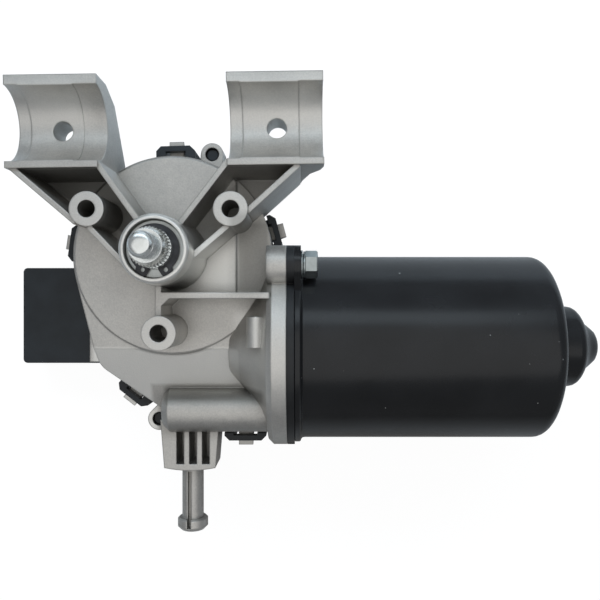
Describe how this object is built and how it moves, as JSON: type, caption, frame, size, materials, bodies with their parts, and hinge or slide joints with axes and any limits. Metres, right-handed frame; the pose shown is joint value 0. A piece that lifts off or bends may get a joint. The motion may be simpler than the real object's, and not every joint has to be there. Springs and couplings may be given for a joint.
{
  "type": "wiper motor",
  "caption": "Windscreen wiper motor with a worm gearbox: ribbed die-cast housing with tube saddles and a locating peg, clipped rear cover with connector, and a deep-drawn motor can.",
  "frame": {"origin": "on the output shaft's axis, in the plane of the three mounting boss faces", "axes": "+Z along the output shaft, out of the housing; +X along the motor's own axis from the gearbox towards the can's nose; the tube saddles lie towards +Y and the locating peg towards -Y"},
  "size_m": [0.2176, 0.1597, 0.0932],
  "materials": {
    "cast_aluminium": "satin as-cast",
    "cover_plastic": "satin moulded",
    "seal_rubber": "matt",
    "contact_brass": "bright",
    "carrier_plastic": "matt",
    "wheel_plastic": "satin moulded",
    "plated_steel": "zinc plated",
    "plain_steel": "ground",
    "black_steel": "black oxide",
    "can_paint": "satin black",
    "ferrite": "matt",
    "sintered_bronze": "matt",
    "lamination_steel": "matt",
    "copper": "bright",
    "pad_plastic": "matt",
    "carbon": "matt",
    "breaker_case": "tinned"
  },
  "bodies": {
    "housing": {"gear_housing": "cast_aluminium", "rear_cover": "cover_plastic", "cover_gasket": "seal_rubber", "connector_terminals": "contact_brass", "contact_carrier": "carrier_plastic", "park_fingers": "contact_brass", "upper_shaft_bush": "sintered_bronze", "lower_shaft_bush": "sintered_bronze", "shaft_seal": "seal_rubber", "tower_washer": "plated_steel", "thrust_washer": "plain_steel", "motor_can": "can_paint", "field_magnets": "ferrite", "worm_end_bush": "sintered_bronze", "neck_bush": "sintered_bronze", "nose_bush": "sintered_bronze", "nose_bush_retainer": "plain_steel", "worm_end_thrust_pad": "pad_plastic", "nose_thrust_pad": "pad_plastic", "brush_card": "carrier_plastic", "suppression_chokes": "copper", "thermal_breaker": "breaker_case", "can_screws": "plated_steel", "can_screw_washers": "plated_steel"},
    "output": {"output_shaft": "plated_steel", "wheel_hub": "plain_steel", "worm_wheel": "wheel_plastic", "park_disc": "contact_brass", "retaining_ring": "black_steel"},
    "armature": {"armature_shaft": "plain_steel", "armature_core": "lamination_steel", "armature_windings": "copper", "commutator": "copper"},
    "arm_common": {"brush_common": "carbon", "brush_arm_common": "copper"},
    "arm_low": {"brush_low": "carbon", "brush_arm_low": "copper"},
    "arm_high": {"brush_high": "carbon", "brush_arm_high": "copper"}
  },
  "joints": [
    {"name": "armature_spin", "type": "hinge", "parent": "housing", "child": "armature", "pos_m": [0, -0.033, -0.0343], "axis": [1, 0, 0], "continuous": true},
    {"name": "output_spin", "type": "hinge", "parent": "housing", "child": "output", "pos_m": [0, 0, 0], "axis": [0, 0, 1], "continuous": true},
    {"name": "brush_arm_common_lift", "type": "hinge", "parent": "housing", "child": "arm_common", "pos_m": [0.0521, -0.05035, -0.0478], "axis": [1, 0, 0], "range_deg": [0, 3], "stiffness_Nm_per_rad": 0.02, "springref_deg": -5.73},
    {"name": "brush_arm_low_lift", "type": "hinge", "parent": "housing", "child": "arm_low", "pos_m": [0.0521, -0.01565, -0.0478], "axis": [-1, 0, 0], "range_deg": [0, 3], "stiffness_Nm_per_rad": 0.02, "springref_deg": -5.73},
    {"name": "brush_arm_high_lift", "type": "hinge", "parent": "housing", "child": "arm_high", "pos_m": [0.0521, -0.03602, -0.01252], "axis": [1, 0, 0], "range_deg": [0, 3], "stiffness_Nm_per_rad": 0.02, "springref_deg": -5.73}
  ],
  "couplings": [
    {"joint": "output_spin", "follows": "armature_spin", "ratio": -0.018182}
  ]
}
